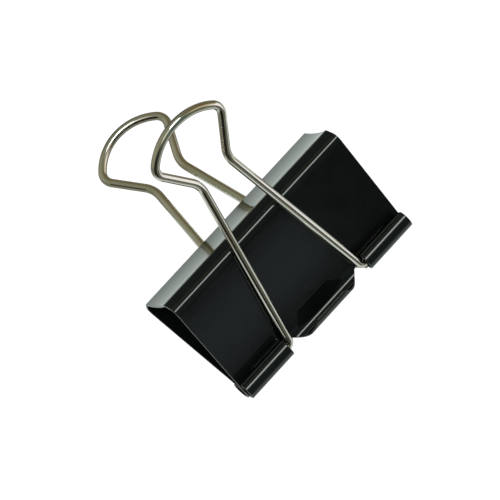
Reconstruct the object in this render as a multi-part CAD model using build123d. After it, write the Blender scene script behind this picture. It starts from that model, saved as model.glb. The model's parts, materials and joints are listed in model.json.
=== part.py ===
from build123d import *
import math
import os

# A foldback clip: a strip of black spring steel bent to a triangle, with two wire handles.
# Sizes are in millimetres. The clip is first drawn upright and symmetric: X along the lips,
# Y from the front jaw to the rear jaw, Z from the lips up to the spine, with both lip axes at Z = 0.

# Spring body
WIDTH = 51.0                # length of the lips and the spine
SHEET = 0.5                 # spring steel strip
BODY_DEPTH = 27.1           # over the two shoulder corners
RIDGE_SPACING = 18.2        # between the two ridge corners of the spine
RIDGE_HEIGHT = 26.75        # ridge corners above the lip axes
SHOULDER_DROP = 1.7         # shoulder corners below the ridge corners
SPINE_DIP = 0.45            # middle of the spine below its ridges
RIDGE_RADIUS = 2.5          # outside of the bend
SHOULDER_RADIUS = 1.6       # outside of the bend

# Wire handles, sized on the centre line of the wire
WIRE = 1.9                  # wire diameter
LEG_SPACING = 22.8          # between the legs at the lip axis
FOOT_LENGTH = 9.65          # from a leg to the end of its foot
LEG_BEND = 1.2              # radius from leg to foot
NECK_WIDTH = 8.2            # between the neck corners
NECK_REACH = 45.1           # lip axis to the neck corners
NECK_RADIUS = 5.5
FLARE_LENGTH = 9.7          # neck corners to the head corners, along the handle
HEAD_WIDTH = 20.0           # between the corners of the head
HEAD_RISE = 5.2             # head corners to the top of the head
HEAD_CORNER = 2.6           # radius of the head corners
REST_CLEARANCE = 0.1        # between a leg and the shoulder that it leans on

# Curled lips, which hold the feet of the wire
FOOT_PLAY = 0.7             # between a foot and the bore of its curl, all round
JAW_GAP = 0.1               # between the closed lips
CURL_END = 70.0             # degrees, free edge of the side curls above straight out
TONGUE_END = -15.0          # degrees, free edge of the middle tongue above straight out
TONGUE_TIP = 9.0            # width of the tongue at its free edge
NOTCH_TOP = 0.3             # top of the leg notches above the lip axis
NOTCH_CLEARANCE = 0.1       # between a leg and either side of its notch

CUT_OVER = 5.0              # how far a cutting tool reaches past the sheet


def corner_arc(circle_centre, reach, point, along, inward, radius):
    """Centre and line end of an arc that touches a line and a circle.

    The line runs through point in the direction along, the arc lies on its inward side, and its
    centre is at the distance reach from the circle's centre, nearest to point.
    """
    base = point + inward * radius - circle_centre
    half_b = base.dot(along)
    root = math.sqrt(half_b**2 - base.dot(base) + reach**2)
    step = min(-half_b - root, -half_b + root, key=abs)
    line_end = point + along * step
    return line_end + inward * radius, line_end


def sheet(path):
    """The strip's cross-section, from the line of its outer skin, carried over the clip's width."""
    outline = Wire(path.edges()).offset_2d(SHEET, side=Side.RIGHT)
    return extrude(Plane.YZ * make_face(outline), WIDTH / 2, both=True)


# The outer skin's construction points, on the rear half: Vector(depth, height)
wire_radius = WIRE / 2
bore_radius = wire_radius + FOOT_PLAY
curl_radius = bore_radius + SHEET
lip_axis = Vector(curl_radius + JAW_GAP / 2, 0)
ridge = Vector(RIDGE_SPACING / 2, RIDGE_HEIGHT)
shoulder = Vector(BODY_DEPTH / 2, RIDGE_HEIGHT - SHOULDER_DROP)

# The wall runs from the shoulder corner to the curl, tangent to the curl's bore
to_axis = lip_axis - shoulder
wall_turn = math.asin(bore_radius / to_axis.length)
wall_down = to_axis.rotate(Axis.Z, -math.degrees(wall_turn)).normalized()
wall_end = shoulder + wall_down * math.sqrt(to_axis.length**2 - bore_radius**2)
wall_lean = math.degrees(math.atan2(-wall_down.X, -wall_down.Y))

# The spine's shallow arc meets the sloping band in a soft ridge bend
spine_radius = ((RIDGE_SPACING / 2)**2 + SPINE_DIP**2) / (2 * SPINE_DIP)
spine_centre = Vector(0, RIDGE_HEIGHT - SPINE_DIP + spine_radius)
band_along = (shoulder - ridge).normalized()
band_inward = band_along.rotate(Axis.Z, -90)
ridge_centre, flexure = corner_arc(
    spine_centre, spine_radius + RIDGE_RADIUS, ridge, band_along, band_inward, RIDGE_RADIUS
)
spine_end = ridge_centre + (spine_centre - ridge_centre).normalized() * RIDGE_RADIUS


# Spine: the back of the strip with both ridge bends, from flexure line to flexure line
def across(point):
    """The same point on the front half."""
    return Vector(-point.X, point.Y)


spine_arc = ThreePointArc(across(spine_end), (0, RIDGE_HEIGHT - SPINE_DIP), spine_end)
rear_ridge = TangentArc(flexure, spine_end, tangent=band_along * -1)
front_ridge = TangentArc(across(flexure), across(spine_end), tangent=across(band_along * -1))
spine = sheet(front_ridge + spine_arc + rear_ridge)


# Jaw: band, shoulder bend, flat wall and curled lip, drawn for the rear half
slope = FilletPolyline(flexure, shoulder, wall_end, radius=SHOULDER_RADIUS)
curl_turn = 180 + CURL_END + wall_lean
curl = JernArc(wall_end, wall_down, bore_radius, curl_turn)
rear_jaw = sheet(slope + curl)


# The middle of the lip is a tapered tongue, half curled, between two notches for the legs
def sector(start, end, reach):
    """A pie slice about the lip axis, from start to end degrees above straight out."""
    edge_a = lip_axis + Vector(reach, 0).rotate(Axis.Z, start)
    edge_b = lip_axis + Vector(reach, 0).rotate(Axis.Z, end)
    middle = lip_axis + Vector(reach, 0).rotate(Axis.Z, (start + end) / 2)
    return make_face(Line(lip_axis, edge_a) + ThreePointArc(edge_a, middle, edge_b) + Line(edge_b, lip_axis))


notch_outer = LEG_SPACING / 2 + wire_radius + NOTCH_CLEARANCE
notch_inner = LEG_SPACING / 2 - wire_radius - NOTCH_CLEARANCE
tongue_clearing = extrude(
    Plane.YZ * sector(TONGUE_END, CURL_END + CUT_OVER, curl_radius * 2), notch_outer, both=True
)
curl_middle = bore_radius + SHEET / 2
notch_angle = 180 - math.degrees(math.asin(NOTCH_TOP / curl_middle))


def tongue_side(angle):
    """Half width of the tongue where its curl has come round to an angle above straight out.

    The sides are straight on the flat strip, so the width falls evenly with the angle.
    """
    share = (angle - notch_angle) / (360 + TONGUE_END - notch_angle)
    return notch_inner + (TONGUE_TIP / 2 - notch_inner) * share


# Each notch is cut twice: from the front for the falling half of the tongue, from below for its rising half
falling = [notch_angle + (270 - notch_angle) * share for share in (0, 0.25, 0.5, 0.75, 1)]
rising = [270 + (90 + TONGUE_END) * share for share in (0, 0.25, 0.5, 0.75, 1)]
front_view = Polyline(
    (notch_outer, NOTCH_TOP),
    *[(tongue_side(angle), curl_middle * math.sin(math.radians(angle))) for angle in falling],
    (tongue_side(270), -curl_radius - CUT_OVER),
    (notch_outer, -curl_radius - CUT_OVER),
    close=True,
)
plan_view = Polyline(
    (notch_outer, lip_axis.X),
    *[(tongue_side(angle), lip_axis.X + curl_middle * math.cos(math.radians(angle))) for angle in rising],
    (TONGUE_TIP / 2, lip_axis.X + curl_radius + CUT_OVER),
    (notch_outer, lip_axis.X + curl_radius + CUT_OVER),
    close=True,
)
notch = extrude(Plane.XZ * make_face(front_view), curl_radius * 2 + CUT_OVER, both=True)
notch += extrude(Pos(Z=NOTCH_TOP) * make_face(plan_view), -curl_radius * 2)
rear_jaw = rear_jaw - tongue_clearing - notch - mirror(notch, about=Plane.YZ)
front_jaw = mirror(rear_jaw, about=Plane.XZ)

# Handle: one bent wire, drawn flat with its feet on the lip axis and its head along +Y
leg_foot = Vector(LEG_SPACING / 2, 0)
foot_end = leg_foot + Vector(FOOT_LENGTH, 0)
neck = Vector(NECK_WIDTH / 2, NECK_REACH)
head_side = Vector(HEAD_WIDTH / 2, NECK_REACH + FLARE_LENGTH)
head_top = Vector(0, NECK_REACH + FLARE_LENGTH + HEAD_RISE)
head_radius = (head_side.X**2 + HEAD_RISE**2) / (2 * HEAD_RISE)
head_centre = Vector(0, head_top.Y - head_radius)
flare = (head_side - neck).normalized()
corner_centre, flare_end = corner_arc(
    head_centre, head_radius - HEAD_CORNER, head_side, flare, flare.rotate(Axis.Z, 90), HEAD_CORNER
)
head_end = corner_centre + (corner_centre - head_centre).normalized() * HEAD_CORNER
leg = FilletPolyline(foot_end, leg_foot, neck, flare_end, radius=(LEG_BEND, NECK_RADIUS))
head_corner = TangentArc(flare_end, head_end, tangent=flare)
head_arc = ThreePointArc(head_end, head_top, across(head_end))
half_wire = leg + head_corner
wire_path = Wire(half_wire.edges() + head_arc.edges() + mirror(half_wire, about=Plane.YZ).edges())
foot_face = Plane(origin=foot_end, z_dir=(-1, 0, 0)) * Circle(wire_radius)
flat_handle = sweep(foot_face, path=wire_path)

# A handle at rest is folded back until its legs lean on the shoulder bend
bend_in = (wall_down - band_along).normalized()
half_turn = math.radians(band_along.get_angle(wall_down)) / 2
bend_centre = shoulder + bend_in * (SHOULDER_RADIUS / math.cos(half_turn))
to_bend = bend_centre - lip_axis
leg_offset = SHOULDER_RADIUS + wire_radius + REST_CLEARANCE
lean = math.degrees(math.atan2(to_bend.X, to_bend.Y) + math.asin(leg_offset / to_bend.length))
handle_plane = Plane(origin=(0, lip_axis.X, 0), x_dir=(-1, 0, 0), z_dir=Vector(0, 1, 0).rotate(Axis.X, -lean))
rear_handle = handle_plane * flat_handle
front_handle = mirror(rear_handle, about=Plane.XZ)

# The clip lies on its rear curl and on the head of its rear handle, lips towards -Y
lie_angle = lean - math.degrees(math.asin((curl_radius - wire_radius) / head_top.Y))
upright = {
    "spine": spine,
    "front_jaw": front_jaw,
    "rear_jaw": rear_jaw,
    "front_handle": front_handle,
    "rear_handle": rear_handle,
}
turn = Rot(X=lie_angle - 90)
turned_box = Compound(children=[turn * piece for piece in upright.values()]).bounding_box()
lying = Pos(0, -turned_box.center().Y, -turned_box.min.Z) * turn

os.makedirs("parts", exist_ok=True)
for name, piece in upright.items():
    export_step(lying * piece, f"parts/{name}.step")

# Joint axes all run along X: where they are, and the angles that set the handles' swing
for name, point in (("flexure", flexure), ("lip_axis", lip_axis)):
    for side, depth in (("front", -point.X), ("rear", point.X)):
        placed = (lying * Pos(0, depth, point.Y)).position
        print(f"{side}_{name}: Y {placed.Y:.4f}, Z {placed.Z:.4f}")
print(f"lean {lean:.3f}, wall lean {wall_lean:.3f}, lie angle {lie_angle:.3f}")
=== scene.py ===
import json

import bpy
import numpy as np
from mathutils import Matrix, Vector


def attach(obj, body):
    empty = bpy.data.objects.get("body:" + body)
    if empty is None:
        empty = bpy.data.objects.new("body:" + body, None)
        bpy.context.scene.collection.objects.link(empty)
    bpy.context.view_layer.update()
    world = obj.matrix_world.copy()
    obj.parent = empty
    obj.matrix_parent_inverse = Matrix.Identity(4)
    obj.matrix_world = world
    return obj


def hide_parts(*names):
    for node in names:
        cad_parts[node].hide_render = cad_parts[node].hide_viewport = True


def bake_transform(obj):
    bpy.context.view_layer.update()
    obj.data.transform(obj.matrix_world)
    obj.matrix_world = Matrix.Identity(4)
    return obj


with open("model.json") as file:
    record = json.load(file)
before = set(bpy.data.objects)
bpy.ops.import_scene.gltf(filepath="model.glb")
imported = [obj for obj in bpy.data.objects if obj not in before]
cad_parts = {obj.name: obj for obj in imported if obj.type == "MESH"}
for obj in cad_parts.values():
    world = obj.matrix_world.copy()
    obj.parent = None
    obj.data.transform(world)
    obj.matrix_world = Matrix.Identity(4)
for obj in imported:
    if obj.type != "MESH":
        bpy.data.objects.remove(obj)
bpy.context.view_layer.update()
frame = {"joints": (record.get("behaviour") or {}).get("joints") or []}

# The clip's own axes
# The clip lies on its rear lip and its rear handle. Its width runs along the lips, its depth from the front
# lip to the rear lip, and its height from the lips up to the spine. The depth is read from the hinge points
# of the two handles, the width runs along x and the height is square to both, and the sizes of the pieces
# are in millimetres along them.
MM = 0.001
hinge = {joint["name"]: np.array(joint["pos_m"]) for joint in frame["joints"]}
lip_middle = (hinge["front_handle_swing"] + hinge["rear_handle_swing"]) / 2
pin_gap = hinge["rear_handle_swing"] - hinge["front_handle_swing"]
LIP_AXIS = np.linalg.norm(pin_gap) / 2 / MM
width_axis = np.array([1.0, 0.0, 0.0])
depth_axis = pin_gap / np.linalg.norm(pin_gap)
height_axis = np.cross(width_axis, depth_axis)


def lying(width, depth, height):
    """Points in metres, from millimetres along the clip's own axes: each size times its axis, added up."""
    along = [np.multiply.outer(size, axis) for size, axis in
             ((width, width_axis), (depth, depth_axis), (height, height_axis))]
    return lip_middle + MM * sum(along)


# Spring body
# One strip of spring steel, bent to a triangle with both long edges curled outwards to hold the wires, and
# stove enamelled black. It is drawn as two halves that meet along the middle of the spine.
STRIP_WIDTH = 51.0
STRIP = 0.5
# The corners of the bends are given as depth and height, on the rear half
SHOULDER = np.array([13.55, 25.05])
RIDGE = np.array([9.1, 26.75])
SPINE_DIP = 0.45
SPINE_RADIUS = 78.0
RIDGE_RADIUS = 2.5
SHOULDER_RADIUS = 1.6
BORE = 1.65
CURL_END = np.radians(70.0)
TONGUE_END = np.radians(-15.0)
NOTCH_TOP = 0.3
NOTCH_SIDES = (10.35, 12.45)
TONGUE_TIP = 4.5
CORNER = 0.35
NOTCH_FILLET = 0.25
EDGE_ROUND = 0.14
BEND_STEP = np.radians(2.0)
RUN_STEP = 0.5
# How densely the rows lie on flats and in bends, and the numbers of rows and columns
ROW_RUN = 1.2
ROW_TURN = np.radians(5.0)
ROWS_ABOVE = 96
ROWS_BELOW = 43
CURL_COLUMNS = 22
NOTCH_COLUMNS = 4
TONGUE_COLUMNS = 31
# The part of the strip that a column lies in
IN_CURL = 0
IN_NOTCH = 1
IN_TONGUE = 2
EDGE_TURNS = np.radians([30.0, 60.0, 90.0])


def bent_line(corners, radii, end_bends):
    """Points, headings and lengths along straight runs joined by round bends, with more bends at the end.

    A bend of radius r that turns by a takes r * tan(a / 2) off the runs on both sides of it. It is a row of
    chords, each 2 * r * sin(step / 2) long, whose headings advance by one step at a time.
    """
    runs = np.diff(np.asarray(corners, float), axis=0)
    headings = np.arctan2(runs[:, 1], runs[:, 0])
    turns = (np.diff(headings) + np.pi) % (2 * np.pi) - np.pi
    radii = np.asarray(radii, float)
    setback = np.r_[0, radii * np.tan(np.abs(turns) / 2), 0]
    straight = np.hypot(runs[:, 0], runs[:, 1]) - setback[:-1] - setback[1:]
    bends = [[bend] for bend in zip(radii, turns)] + [end_bends]
    chords, steps = [], []
    for length, after in zip(straight, bends):
        count = int(np.ceil(length / RUN_STEP)) + 1
        chords.append(np.full(count, length / count))
        steps.append(np.zeros(count))
        for radius, turn in after:
            count = int(np.ceil(abs(turn) / BEND_STEP)) + 1
            chords.append(np.full(count, 2 * radius * np.sin(abs(turn) / count / 2)))
            steps.append(np.full(count, turn / count))
    chord, step = np.concatenate(chords), np.concatenate(steps)
    heading = headings[0] + np.r_[0, np.cumsum(step)]
    middle = heading[:-1] + step / 2
    moves = chord[:, None] * np.stack([np.cos(middle), np.sin(middle)], 1)
    points = np.asarray(corners[0], float) + np.vstack([[0, 0], np.cumsum(moves, axis=0)])
    return points, heading, np.r_[0, np.cumsum(chord)]


# The skin of the rear half runs from the middle of the spine over the ridge and the shoulder, down the
# wall, which touches the circle of the bore, and round the curl to its free edge. An angle on the curl is
# that of the line from its axis, which is three quarters of a turn ahead of the skin's heading.
to_axis = np.array([LIP_AXIS, 0]) - SHOULDER
wall_heading = np.arctan2(to_axis[1], to_axis[0]) - np.arcsin(BORE / np.hypot(*to_axis))
wall_run = np.sqrt(to_axis @ to_axis - BORE**2)
wall_end = SHOULDER + wall_run * np.array([np.cos(wall_heading), np.sin(wall_heading)])
curl_start = wall_heading + 1.5 * np.pi
curl_turn = 2 * np.pi + CURL_END - curl_start
skin, skin_heading, skin_length = bent_line(
    [(0, RIDGE[1] - SPINE_DIP), (RIDGE[0] / 2, RIDGE[1] - SPINE_DIP), RIDGE, SHOULDER, wall_end],
    [SPINE_RADIUS, RIDGE_RADIUS, SHOULDER_RADIUS],
    [(BORE, curl_turn)],
)
wall_length = skin_length[-1] - BORE * curl_turn


def skin_at_angle(angle):
    """Length along the skin where the curl has come round to an angle above straight out.

    It is the length down to the end of the wall, and the bore's radius times the angle since then.
    """
    return wall_length + BORE * (angle - curl_start)


def corner_cut(distance, radius):
    """How far a round corner has come in from its side, at a distance from its end.

    It is the radius less the other leg of a right triangle with the radius as its longest side.
    """
    short = np.clip(radius - distance, 0, radius)
    return radius - np.sqrt(radius**2 - short**2)


def spread(count):
    """Numbers from 0 to 1 that crowd together at both ends, as a half turn's cosine does."""
    return 0.5 - 0.5 * np.cos(np.linspace(0, np.pi, count))


def strip_grid():
    """The flat pattern of one half: each point's width and skin length, each column's part, the notch row.

    Every row runs across the strip. Above the notches the rows are whole, spaced by length and by bending.
    Below them they part into two side curls and a tapered tongue, whose sides follow the pattern's outline,
    less the rounding of the sheared edge.
    """
    notch_length = skin_at_angle(np.pi - np.arcsin(NOTCH_TOP / BORE)) - EDGE_ROUND
    curl_length = skin_length[-1] - EDGE_ROUND
    tongue_length = skin_at_angle(2 * np.pi + TONGUE_END) - EDGE_ROUND
    bending = np.r_[0, np.cumsum(np.abs(np.diff(skin_heading)))]
    measure = skin_length / ROW_RUN + bending / ROW_TURN
    limit = np.interp(notch_length, skin_length, measure)
    upper = np.interp(np.linspace(0, limit, ROWS_ABOVE), measure, skin_length)
    upper[-1] = notch_length
    lower = spread(ROWS_BELOW + 1)[1:]
    curl = np.r_[upper, notch_length + (curl_length - notch_length) * lower]
    tongue = np.r_[upper, notch_length + (tongue_length - notch_length) * lower]
    notch_row = ROWS_ABOVE - 1
    above = np.arange(len(curl)) <= notch_row

    def root_cut(length):
        """How far a notch's round root has come in from the notch's side, at a length along the skin."""
        return corner_cut(np.maximum(length - notch_length, 0), NOTCH_FILLET) * (length >= notch_length)

    outer = STRIP_WIDTH / 2 - EDGE_ROUND - corner_cut(curl[-1] - curl, CORNER)
    inner = NOTCH_SIDES[1] + EDGE_ROUND + corner_cut(curl[-1] - curl, CORNER)
    inner -= np.where(above, NOTCH_FILLET, root_cut(curl))
    taper = (tongue - notch_length) / (tongue[-1] - notch_length)
    half = NOTCH_SIDES[0] - (NOTCH_SIDES[0] - TONGUE_TIP) * np.maximum(taper, 0)
    half = np.where(above, half[notch_row] + NOTCH_FILLET, half + root_cut(tongue))
    half -= EDGE_ROUND + corner_cut(tongue[-1] - tongue, CORNER)
    over_curl = spread(CURL_COLUMNS)
    over_notch = np.linspace(0, 1, NOTCH_COLUMNS + 2)[1:-1]
    over_tongue = np.sin(np.linspace(-0.5, 0.5, TONGUE_COLUMNS) * np.pi)
    right = inner[:, None] + (outer - inner)[:, None] * over_curl
    notch = half[:, None] + (inner - half)[:, None] * over_notch
    middle = half[:, None] * over_tongue
    width = np.hstack([-right[:, ::-1], -notch[:, ::-1], middle, notch, right])
    columns = np.repeat(
        [IN_CURL, IN_NOTCH, IN_TONGUE, IN_NOTCH, IN_CURL],
        [CURL_COLUMNS, NOTCH_COLUMNS, TONGUE_COLUMNS, NOTCH_COLUMNS, CURL_COLUMNS],
    )
    length = np.where(columns == IN_TONGUE, tongue[:, None], curl[:, None])
    return width, length, columns, notch_row


def outline_walk(columns, notch_row, last_row):
    """Rows and columns of the points along a half's outline, from its left cut corner round to its right.

    The walk goes down the left side, along each curl, notch and the tongue in turn, and up the right side.
    """
    parts = np.flatnonzero(np.diff(columns))
    left, tongue_left, tongue_right, right = parts[0], parts[1] + 1, parts[2], parts[3] + 1
    down, up = np.arange(notch_row, last_row), np.arange(last_row, notch_row, -1)
    legs = [
        (np.arange(0, last_row), 0),
        (last_row, np.arange(0, left)),
        (up, left),
        (notch_row, np.arange(left, tongue_left)),
        (down, tongue_left),
        (last_row, np.arange(tongue_left, tongue_right)),
        (up, tongue_right),
        (notch_row, np.arange(tongue_right, right)),
        (down, right),
        (last_row, np.arange(right, len(columns) - 1)),
        (np.arange(last_row, -1, -1), len(columns) - 1),
    ]
    pairs = [np.broadcast_arrays(*leg) for leg in legs]
    return np.concatenate([rows for rows, _ in pairs]), np.concatenate([cols for _, cols in pairs])


def strip_half(name, side):
    """A closed half of the strip, on the front or the rear side.

    Its two skins lie half a thickness off the middle surface, and a rounded sheared edge joins them. Each
    ring of that edge is the outline, moved outwards by the sine and along the normal by the cosine of its
    turn.
    """
    width, length, columns, notch_row = strip_grid()
    rows, cols = width.shape
    count = rows * cols
    heading = np.interp(length, skin_length, skin_heading)
    normal_depth, normal_height = -np.sin(heading), np.cos(heading)
    depth = np.interp(length, skin_length, skin[:, 0]) - STRIP / 2 * normal_depth
    height = np.interp(length, skin_length, skin[:, 1]) - STRIP / 2 * normal_height
    middle = np.stack([width, side * depth, height], -1).reshape(-1, 3)
    normal = np.stack([np.zeros_like(width), side * normal_depth, normal_height], -1).reshape(-1, 3)

    walk_rows, walk_cols = outline_walk(columns, notch_row, rows - 1)
    walk = walk_rows * cols + walk_cols
    ends = np.r_[0, np.arange(len(walk)), len(walk) - 1]
    tangent = middle[walk[ends[2:]]] - middle[walk[ends[:-2]]]
    outward = side * np.cross(normal[walk], tangent)
    outward /= np.linalg.norm(outward, axis=1)[:, None]
    flat = STRIP / 2 - EDGE_ROUND
    upper_out = EDGE_ROUND * np.sin(EDGE_TURNS)
    upper_rise = flat + EDGE_ROUND * np.cos(EDGE_TURNS)
    ring_out = np.r_[upper_out, upper_out[::-1]]
    ring_up = np.r_[upper_rise, -upper_rise[::-1]]
    rings = middle[walk] + ring_out[:, None, None] * outward + ring_up[:, None, None] * normal[walk]
    points = np.vstack([middle + STRIP / 2 * normal, middle - STRIP / 2 * normal, rings.reshape(-1, 3)])

    index = np.arange(count).reshape(rows, cols)
    quads = np.stack([index[:-1, :-1], index[:-1, 1:], index[1:, 1:], index[1:, :-1]], -1)
    solid = np.ones((rows - 1, cols - 1), bool)
    solid[notch_row:] = (columns[:-1] == columns[1:]) & (columns[:-1] != IN_NOTCH)
    outer = quads[solid]
    ring_index = 2 * count + np.arange(len(ring_out) * len(walk)).reshape(len(ring_out), -1)
    edge = np.vstack([walk, ring_index, walk + count])
    rim = np.stack([edge[:-1, :-1], edge[:-1, 1:], edge[1:, 1:], edge[1:, :-1]], -1).reshape(-1, 4)
    first = index[0]
    cut = np.stack([first[1:], first[:-1], first[:-1] + count, first[1:] + count], -1)
    faces = np.vstack([outer, outer[:, ::-1] + count, rim, cut])[:, ::side].tolist()
    faces += [edge[:, 0][::side].tolist(), edge[:, -1][::-side].tolist()]
    used = np.unique(np.concatenate([np.ravel(face) for face in faces]))
    renumber = np.full(len(points), -1)
    renumber[used] = np.arange(len(used))
    points = points[used]
    faces = [renumber[face].tolist() for face in faces]

    mesh = bpy.data.meshes.new(name)
    mesh.from_pydata(lying(points[:, 0], points[:, 1], points[:, 2]).tolist(), [], faces)
    smooth = np.ones(len(faces), bool)
    smooth[-len(cut) - 2:] = False
    mesh.polygons.foreach_set("use_smooth", smooth)
    corners = np.zeros(len(points), bool)
    corners[renumber[np.concatenate([first, first + count, edge[:, 0], edge[:, -1]])]] = True
    mesh_edges = np.zeros(2 * len(mesh.edges), int)
    mesh.edges.foreach_get("vertices", mesh_edges)
    sharp = mesh.attributes.new("sharp_edge", "BOOLEAN", "EDGE")
    sharp.data.foreach_set("value", corners[mesh_edges.reshape(-1, 2)].all(axis=1))
    sheared = mesh.attributes.new("sheared", "FLOAT", "POINT")
    sheared.data.foreach_set("value", (used >= 2 * count).astype(np.float32))
    half = bpy.data.objects.new(name, mesh)
    bpy.context.scene.collection.objects.link(half)
    return half


class Socket:
    """A shader value: sums, differences and products with it add Math nodes to its material."""

    def __init__(self, tree, output):
        self.tree = tree
        self.output = output

    def node(self, kind, settings=None, **inputs):
        """Adds a node with its settings and its sockets' values or links, and gives its first output."""
        made = self.tree.nodes.new(kind)
        for key, value in (settings or {}).items():
            setattr(made, key, value)
        for key, value in inputs.items():
            number = key.removeprefix("input_")
            socket = made.inputs[int(number) if number.isdigit() else number.replace("_", " ")]
            if isinstance(value, Socket):
                self.tree.links.new(value.output, socket)
            else:
                socket.default_value = value
        return Socket(self.tree, made.outputs[0])

    def out(self, name):
        """Another output of the same node."""
        return Socket(self.tree, self.output.node.outputs[name])

    def maths(self, operation, first, second):
        """One Math node on two values, either of which may be a number."""
        return self.node("ShaderNodeMath", {"operation": operation}, input_0=first, input_1=second)

    def __add__(self, other):
        return self.maths("ADD", self, other)

    def __radd__(self, other):
        return self.maths("ADD", other, self)

    def __sub__(self, other):
        return self.maths("SUBTRACT", self, other)

    def __rsub__(self, other):
        return self.maths("SUBTRACT", other, self)

    def __mul__(self, other):
        return self.maths("MULTIPLY", self, other)

    def __rmul__(self, other):
        return self.maths("MULTIPLY", other, self)

    def step(self, start, end):
        """A soft step from 0 at start to 1 at end."""
        return self.node("ShaderNodeMapRange", {"interpolation_type": "SMOOTHSTEP"},
                         Value=self, From_Min=start, From_Max=end)

    def mix(self, first, second):
        """A colour between two, by this value. A Mix node's colours are inputs 6 and 7 and output 2."""
        settings = {"data_type": "RGBA"}
        return self.node("ShaderNodeMix", settings, input_0=self, input_6=first, input_7=second).out(2)


def new_finish(name):
    """A material with one Principled shader, a socket in its tree to add nodes from, and the shader."""
    material = bpy.data.materials.new(name)
    material.use_nodes = True
    shader = material.node_tree.nodes["Principled BSDF"]
    return material, Socket(material.node_tree, shader.outputs[0]), shader


ENAMEL = (0.0026, 0.0031, 0.0033, 1.0)
ENAMEL_HAZE = (0.0036, 0.0043, 0.0044, 1.0)
THIN_ENAMEL = (0.035, 0.038, 0.037, 1.0)
ENAMEL_TINT = (0.94, 1.0, 0.975, 1.0)
ENAMEL_IOR = 1.5
HAZE_RANGE = (0.35, 0.7)
DUST_RANGE = (0.72, 0.8)
WEAR_RANGE = (0.3, 0.75)
ENAMEL_ROUGHNESS = 0.04
HAZE_ROUGHNESS = 0.02
DUST_ROUGHNESS = 0.10
SHEARED_ROUGHNESS = 0.14
PEEL_STRENGTH = 0.25
PEEL_DEPTH = 0.000006
enamel, root, shader = new_finish("gloss_enamel")
place = root.node("ShaderNodeTexCoord").out("Object")
haze = root.node("ShaderNodeTexNoise", Vector=place, Scale=190.0, Detail=4.0).step(*HAZE_RANGE)
peel = root.node("ShaderNodeTexNoise", Vector=place, Scale=420.0, Detail=2.0)
dust = root.node("ShaderNodeTexNoise", Vector=place, Scale=5200.0, Detail=0.0).step(*DUST_RANGE)
edge_wear = root.node("ShaderNodeTexNoise", Vector=place, Scale=900.0, Detail=3.0).step(*WEAR_RANGE)
sheared = root.node("ShaderNodeAttribute", {"attribute_name": "sheared"}).out("Fac")
colour = (sheared * edge_wear).mix(haze.mix(ENAMEL, ENAMEL_HAZE), THIN_ENAMEL)
roughness = ENAMEL_ROUGHNESS + HAZE_ROUGHNESS * haze + DUST_ROUGHNESS * dust + SHEARED_ROUGHNESS * sheared
bump = root.node("ShaderNodeBump", Height=peel, Strength=PEEL_STRENGTH, Distance=PEEL_DEPTH)
root.tree.links.new(colour.output, shader.inputs["Base Color"])
root.tree.links.new(roughness.output, shader.inputs["Roughness"])
root.tree.links.new(bump.output, shader.inputs["Normal"])
shader.inputs["IOR"].default_value = ENAMEL_IOR
shader.inputs["Specular Tint"].default_value = ENAMEL_TINT

for half_name, jaw, side, stands_for in (
    ("body_front_half", "front_jaw", -1, ("spine", "front_jaw")),
    ("body_rear_half", "rear_jaw", 1, ("rear_jaw",)),
):
    half = strip_half(half_name, side)
    half.data.materials.append(enamel)
    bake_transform(half)
    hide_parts(*stands_for)


# Wire handles
# Each is one length of drawn steel wire, nickel plated and bent flat to a keyhole loop. Its two feet are
# sheared off square and sit in the side curls of a lip, where they turn as hinge pins, and its legs lean on
# the shoulder.
WIRE_RADIUS = 0.95
# The corners of the bends are given as width and reach from the hinge line, on the right half
LEG_FOOT = (11.4, 0.0)
FOOT_LENGTH = 9.65
NECK = np.array([4.1, 45.1])
HEAD_SIDE = np.array([10.0, 54.8])
HEAD_TOP = 60.0
LEG_BEND = 1.2
NECK_RADIUS = 5.5
HEAD_CORNER = 2.6
LEAN = np.radians(26.476)
SHEAR_ROUND = 0.15
WIRE_SIDES = 32

# The head is an arc over the two head corners; each corner's bend touches the flare and runs into that arc
head_rise = HEAD_TOP - HEAD_SIDE[1]
head_radius = (HEAD_SIDE[0]**2 + head_rise**2) / (2 * head_rise)
head_centre = np.array([0, HEAD_TOP - head_radius])
flare = (HEAD_SIDE - NECK) / np.hypot(*(HEAD_SIDE - NECK))
corner_offset = HEAD_SIDE + HEAD_CORNER * np.array([-flare[1], flare[0]]) - head_centre
along = corner_offset @ flare
slide = np.sqrt(along**2 - corner_offset @ corner_offset + (head_radius - HEAD_CORNER)**2) - along
corner_centre = corner_offset + slide * flare
flare_heading = np.arctan2(flare[1], flare[0])
arc_heading = np.arctan2(corner_centre[1], corner_centre[0]) + np.pi / 2
wire_line, wire_heading, wire_length = bent_line(
    [(LEG_FOOT[0] + FOOT_LENGTH, 0), LEG_FOOT, NECK, HEAD_SIDE + slide * flare],
    [LEG_BEND, NECK_RADIUS],
    [(HEAD_CORNER, arc_heading - flare_heading), (head_radius, np.pi - arc_heading)],
)


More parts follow.
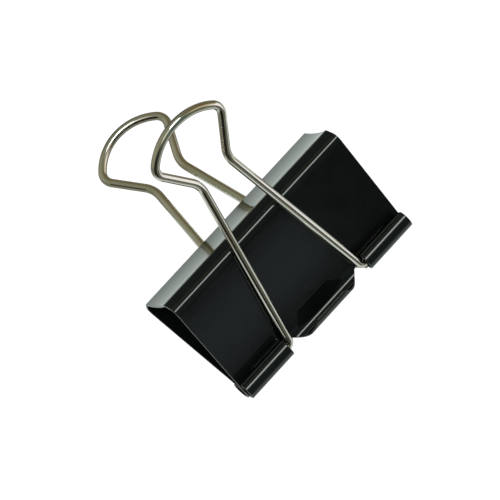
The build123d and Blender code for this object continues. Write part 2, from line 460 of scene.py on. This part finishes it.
def handle(name, side):
    """A round wire: a circle of its radius, carried square to the bent centre line and its mirrored half.

    The wire is drawn flat, across by reach, and then leaned over about the feet.
    """
    line = np.vstack([wire_line, (wire_line * [-1, 1])[-2::-1]])
    heading = np.r_[wire_heading, 2 * np.pi - wire_heading[-2::-1]]
    length = np.r_[wire_length, 2 * wire_length[-1] - wire_length[-2::-1]]
    radius = np.full(len(line), WIRE_RADIUS)
    radius[[0, -1]] -= SHEAR_ROUND
    line[[1, -2], 0] = line[[0, -1], 0] - np.sign(line[[0, -1], 0]) * SHEAR_ROUND
    around = np.linspace(0, 2 * np.pi, WIRE_SIDES, endpoint=False)
    flat = radius[:, None] * np.cos(around)
    lift = radius[:, None] * np.sin(around)
    across = line[:, :1] - np.sin(heading)[:, None] * flat
    reach = line[:, 1:] + np.cos(heading)[:, None] * flat
    depth = side * (LIP_AXIS + reach * np.sin(LEAN) + lift * np.cos(LEAN))
    height = reach * np.cos(LEAN) - lift * np.sin(LEAN)
    points = lying(across.ravel(), depth.ravel(), height.ravel())

    index = np.arange(len(points)).reshape(across.shape)
    after = np.roll(index, -1, axis=1)
    quads = np.stack([index[:-1], after[:-1], after[1:], index[1:]], -1).reshape(-1, 4)[:, ::-side]
    faces = quads.tolist() + [index[0][::side].tolist(), index[-1][::-side].tolist()]
    mesh = bpy.data.meshes.new(name)
    mesh.from_pydata(points.tolist(), [], faces)
    smooth = np.ones(len(faces), bool)
    smooth[-2:] = False
    mesh.polygons.foreach_set("use_smooth", smooth)
    drawn = mesh.attributes.new("drawn", "FLOAT_VECTOR", "POINT")
    unwound = np.stack([np.broadcast_to(length[:, None], flat.shape), flat, lift], -1)
    drawn.data.foreach_set("vector", unwound.astype(np.float32).ravel())
    loop = bpy.data.objects.new(name, mesh)
    bpy.context.scene.collection.objects.link(loop)
    return loop


NICKEL = (0.73, 0.715, 0.69, 1.0)
WARM_NICKEL = (0.64, 0.615, 0.54, 1.0)
NICKEL_TINT = (0.62, 0.58, 0.48, 1.0)
LINE_STRETCH = (0.06, 5.0, 5.0)
LINE_RANGE = (0.4, 0.75)
PATCH_RANGE = (0.35, 0.7)
NICKEL_ROUGHNESS = 0.06
LINE_ROUGHNESS = 0.08
PATCH_ROUGHNESS = 0.05
LINE_STRENGTH = 0.3
LINE_DEPTH = 0.00001
nickel, root, shader = new_finish("bright_nickel")
drawn = root.node("ShaderNodeAttribute", {"attribute_name": "drawn"}).out("Vector")
stretched = root.node("ShaderNodeMapping", Vector=drawn, Scale=LINE_STRETCH)
lines = root.node("ShaderNodeTexNoise", Vector=stretched, Scale=1.0, Detail=3.0)
patches = root.node("ShaderNodeTexNoise", Vector=drawn, Scale=0.16, Detail=3.0).step(*PATCH_RANGE)
colour = patches.mix(NICKEL, WARM_NICKEL)
roughness = NICKEL_ROUGHNESS + LINE_ROUGHNESS * lines.step(*LINE_RANGE) + PATCH_ROUGHNESS * patches
bump = root.node("ShaderNodeBump", Height=lines, Strength=LINE_STRENGTH, Distance=LINE_DEPTH)
root.tree.links.new(colour.output, shader.inputs["Base Color"])
root.tree.links.new(roughness.output, shader.inputs["Roughness"])
root.tree.links.new(bump.output, shader.inputs["Normal"])
shader.inputs["Metallic"].default_value = 1.0
shader.inputs["Specular Tint"].default_value = NICKEL_TINT

for body, side in (("front_handle", -1), ("rear_handle", 1)):
    loop = handle(f"{body}_wire", side)
    loop.data.materials.append(nickel)
    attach(loop, body)
    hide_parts(body)


# Studio
# The clip lies on a pale, faintly glowing sheet that ends just behind the spine, under one soft lamp in a
# white surround. The camera doesn't see the sheet, so a handle that swings below it still shows. The enamel
# and the wire mirror the sheet, the table beyond it, and a dim olive room with screens, panels and walls.
SHEET_SIDES = (-0.11, 0.11)
SHEET_ENDS = (-0.10, 0.012)
SHEET_PALE = (0.30, 0.335, 0.31, 1.0)
SHEET_GLOW = (0.36, 0.40, 0.37, 1.0)
GLOW_STRENGTH = 1.0
EVEN_LIGHT = (1.12, 1.12, 1.12, 1.0)
ROOM_LOW = (0.042, 0.044, 0.042, 1.0)
ROOM_OLIVE = (0.26, 0.265, 0.175, 1.0)
FAR_FLOOR = (0.30, 0.33, 0.34, 1.0)
TABLE = (0.28, 0.275, 0.22, 1.0)
# Where the mirrored room changes, as parts of a direction of length one: from the low wall up to the olive,
# down to the table, and at the four edges of the far floor
OLIVE_RISE = (-0.03, 0.2)
TABLE_FALL = (-0.045, -0.09)
FLOOR_TOP = (-0.0130, -0.0160)
FLOOR_BOTTOM = (-0.0350, -0.0290)
FLOOR_RIGHT = (0.187, 0.181)
FLOOR_FRONT = (-0.85, -0.95)
# The azimuth and elevation of each screen, panel or wall, the degrees round them where it starts to fade
# and where it ends, and its colour
SCREENS = {
    "pale wall": (-140.0, 26.0, 18.0, 38.0, (0.36, 0.35, 0.25, 1.0)),
    "brown wall": (104.0, 30.0, 26.0, 46.0, (0.175, 0.147, 0.072, 1.0)),
    "tan wall": (50.0, 32.0, 10.0, 24.0, (0.64, 0.52, 0.33, 1.0)),
    "white panel": (45.0, 8.0, 12.0, 24.0, (1.20, 1.17, 1.15, 1.0)),
    "second white panel": (67.0, 6.0, 8.0, 17.0, (1.10, 1.06, 1.02, 1.0)),
    "dark screen": (-40.0, 26.0, 26.0, 40.0, (0.012, 0.010, 0.007, 1.0)),
    "grey wall": (169.0, -2.0, 14.0, 26.0, (0.06, 0.07, 0.065, 1.0)),
    "lower teal screen": (12.0, 22.0, 7.0, 15.0, (0.06, 0.11, 0.10, 1.0)),
    "upper teal screen": (17.0, 48.0, 7.0, 15.0, (0.06, 0.12, 0.11, 1.0)),
    "teal shade round the lamp": (80.0, 80.0, 9.0, 17.0, (0.07, 0.13, 0.12, 1.0)),
    "skylight": (-20.0, 74.0, 7.0, 14.0, (1.10, 1.07, 0.97, 1.0)),
}
LAMP_SIZE = 0.25
LAMP_DISTANCE = 0.80
LAMP_AZIMUTH = 71.8
LAMP_ELEVATION = 79.8
LAMP_POWER = 1.15
CAMERA_AIM = Vector((-0.00315, -0.01234, 0.015))
CAMERA_DISTANCE = 0.7482
CAMERA_AZIMUTH = -32.25
CAMERA_ELEVATION = 71.84
CAMERA_ROLL = 16.36
CAMERA_LENS = 254.24
CAMERA_SENSOR = 36.0

corners = [(x, y, 0.0) for x, y in zip(SHEET_SIDES + SHEET_SIDES[::-1], np.repeat(SHEET_ENDS, 2))]
sheet_mesh = bpy.data.meshes.new("pale_sheet")
sheet_mesh.from_pydata(corners, [], [[0, 1, 2, 3]])
sheet = bpy.data.objects.new("pale_sheet", sheet_mesh)
bpy.context.scene.collection.objects.link(sheet)
paper, root, shader = new_finish("pale_paper")
shader.inputs["Base Color"].default_value = SHEET_PALE
shader.inputs["Specular IOR Level"].default_value = 0.0
shader.inputs["Emission Color"].default_value = SHEET_GLOW
shader.inputs["Emission Strength"].default_value = GLOW_STRENGTH
sheet_mesh.materials.append(paper)
sheet.visible_camera = False


def facing(azimuth, elevation, roll=0.0):
    """The turn of a camera or lamp that looks back to the middle from an azimuth and elevation.

    It starts out looking straight down, is rolled clockwise, tipped up to the elevation, and swung round to
    the azimuth.
    """
    swing = Matrix.Rotation(np.radians(azimuth), 3, "Z")
    tip = Matrix.Rotation(np.radians(90 - elevation), 3, "X")
    return swing @ tip @ Matrix.Rotation(np.radians(-roll), 3, "Z")


world = bpy.data.worlds.new("studio")
bpy.context.scene.world = world
world.use_nodes = True
background = world.node_tree.nodes["Background"]
root = Socket(world.node_tree, background.outputs[0])
direction = root.node("ShaderNodeTexCoord").out("Generated")
sides = root.node("ShaderNodeSeparateXYZ", Vector=direction)
room = sides.out("Z").step(*OLIVE_RISE).mix(ROOM_LOW, ROOM_OLIVE)
room = sides.out("Z").step(*TABLE_FALL).mix(room, TABLE)
nearness = {"operation": "DOT_PRODUCT"}
for azimuth, elevation, inner, outer, colour in SCREENS.values():
    middle = tuple(facing(azimuth, elevation) @ Vector((0, 0, 1)))
    near = root.node("ShaderNodeVectorMath", nearness, input_0=direction, input_1=middle).out("Value")
    room = near.step(np.cos(np.radians(outer)), np.cos(np.radians(inner))).mix(room, colour)
far_floor = sides.out("Z").step(*FLOOR_TOP) * sides.out("Z").step(*FLOOR_BOTTOM)
far_floor = far_floor * sides.out("X").step(*FLOOR_RIGHT) * sides.out("Y").step(*FLOOR_FRONT)
room = far_floor.mix(room, FAR_FLOOR)
mirrored = root.node("ShaderNodeLightPath").out("Is Glossy Ray")
world.node_tree.links.new(mirrored.mix(EVEN_LIGHT, room).output, background.inputs["Color"])

lamp_data = bpy.data.lights.new("lamp", "AREA")
lamp_data.shape = "DISK"
lamp_data.size = LAMP_SIZE
lamp_data.energy = LAMP_POWER
lamp = bpy.data.objects.new("lamp", lamp_data)
bpy.context.scene.collection.objects.link(lamp)
lamp_turn = facing(LAMP_AZIMUTH, LAMP_ELEVATION)
lamp.matrix_world = Matrix.Translation(lamp_turn @ Vector((0, 0, LAMP_DISTANCE))) @ lamp_turn.to_4x4()

camera_data = bpy.data.cameras.new("camera")
camera_data.sensor_width = CAMERA_SENSOR
camera_data.lens = CAMERA_LENS
camera = bpy.data.objects.new("camera", camera_data)
bpy.context.scene.collection.objects.link(camera)
camera_turn = facing(CAMERA_AZIMUTH, CAMERA_ELEVATION, CAMERA_ROLL)
camera.matrix_world = (
    Matrix.Translation(CAMERA_AIM + camera_turn @ Vector((0, 0, CAMERA_DISTANCE))) @ camera_turn.to_4x4()
)
bpy.context.scene.camera = camera
bpy.context.scene.view_settings.view_transform = "Standard"
